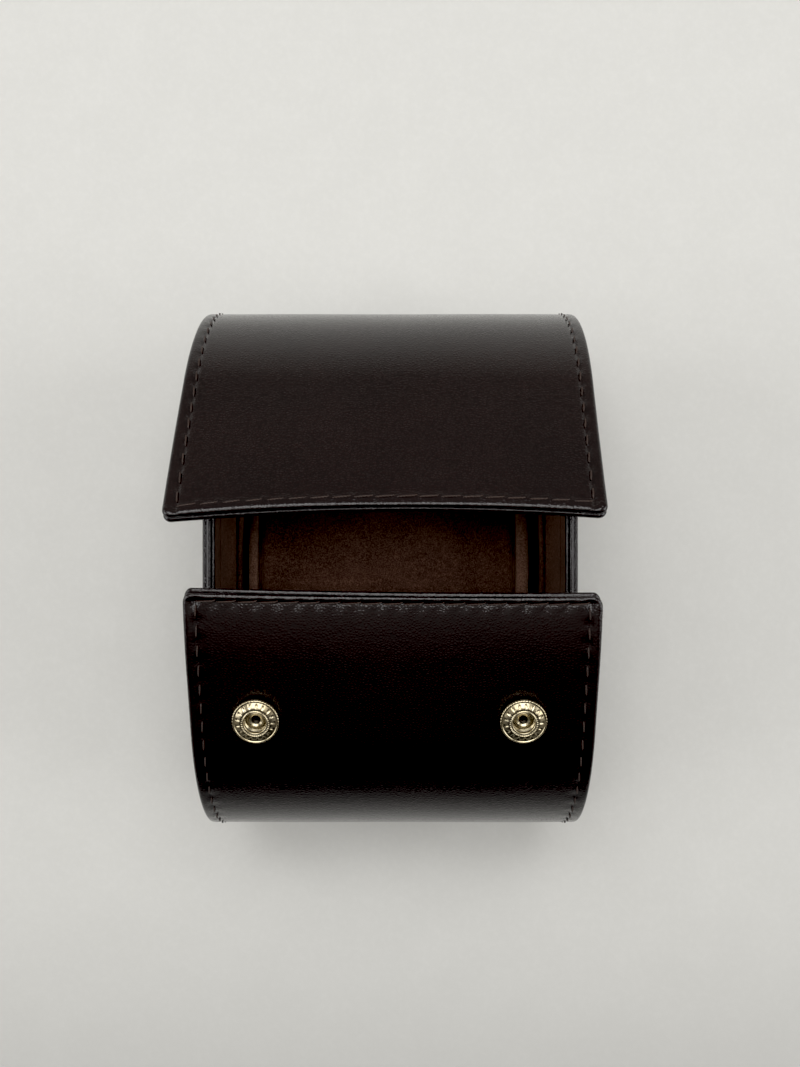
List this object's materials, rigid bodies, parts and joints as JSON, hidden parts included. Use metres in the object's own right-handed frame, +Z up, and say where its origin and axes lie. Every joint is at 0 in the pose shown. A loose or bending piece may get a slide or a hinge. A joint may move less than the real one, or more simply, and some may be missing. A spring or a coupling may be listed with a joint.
{
  "type": "watch travel roll",
  "caption": "Open leather travel roll for a wrist watch: stiff flaps that close on press snaps, padded end walls and a loose suede cushion.",
  "frame": {"origin": "middle of the underside of the base, on the surface that the roll lies on", "axes": "+X along the roll, +Y to the rear flap, +Z up"},
  "size_m": [0.09, 0.128, 0.0866],
  "materials": {
    "calf": "satin",
    "suede": "matte",
    "board": "matte",
    "foam": "matte",
    "snap_brass": "satin",
    "spring_steel": "satin"
  },
  "bodies": {
    "case": {"base_leather": "calf", "base_board": "board", "base_lining": "suede", "rear_bend_leather": "calf", "rear_bend_lining": "suede", "front_bend_leather": "calf", "front_bend_lining": "suede", "left_wall_leather": "calf", "left_wall_board": "board", "left_wall_lining": "suede", "left_gusset": "suede", "right_wall_leather": "calf", "right_wall_board": "board", "right_wall_lining": "suede", "right_gusset": "suede"},
    "rear_wall": {"rear_wall_leather": "calf", "rear_wall_board": "board", "rear_wall_lining": "suede", "shoulder_bend_leather": "calf", "shoulder_bend_lining": "suede"},
    "upper_flap": {"upper_flap_leather": "calf", "upper_flap_board": "board", "upper_flap_lining": "suede", "left_stud": "snap_brass", "left_stud_post": "snap_brass", "right_stud": "snap_brass", "right_stud_post": "snap_brass"},
    "lower_flap": {"lower_flap_leather": "calf", "lower_flap_board": "board", "lower_flap_lining": "suede", "left_socket": "snap_brass", "left_ring_spring": "spring_steel", "left_eyelet": "snap_brass", "right_socket": "snap_brass", "right_ring_spring": "spring_steel", "right_eyelet": "snap_brass"},
    "cushion": {"cushion_core": "foam", "cushion_cover": "suede", "cushion_left_band": "suede", "cushion_right_band": "suede"}
  },
  "joints": [
    {"name": "rear_tuck", "type": "hinge", "parent": "case", "child": "rear_wall", "pos_m": [0, 0.03831, 0.0016], "axis": [1, 0, 0], "range_deg": [-12, 23.35], "stiffness_Nm_per_rad": 0.5, "deforming": ["rear_bend_leather", "rear_bend_lining"]},
    {"name": "front_tuck", "type": "hinge", "parent": "case", "child": "lower_flap", "pos_m": [0, -0.03831, 0.0016], "axis": [-1, 0, 0], "range_deg": [-10.95, 21.25], "stiffness_Nm_per_rad": 0.5, "deforming": ["front_bend_leather", "front_bend_lining"]},
    {"name": "upper_flap_press", "type": "hinge", "parent": "rear_wall", "child": "upper_flap", "pos_m": [0, 0.05503, 0.05322], "axis": [1, 0, 0], "range_deg": [-60, 4.85], "stiffness_Nm_per_rad": 0.3, "deforming": ["shoulder_bend_leather", "shoulder_bend_lining"]},
    {"name": "cushion_lift", "type": "slide", "parent": "case", "child": "cushion", "axis": [0, 0, 1], "range_m": [0, 0.015]}
  ],
  "couplings": [
    {"joint": "front_tuck", "follows": "rear_tuck", "ratio": 0.9077}
  ]
}
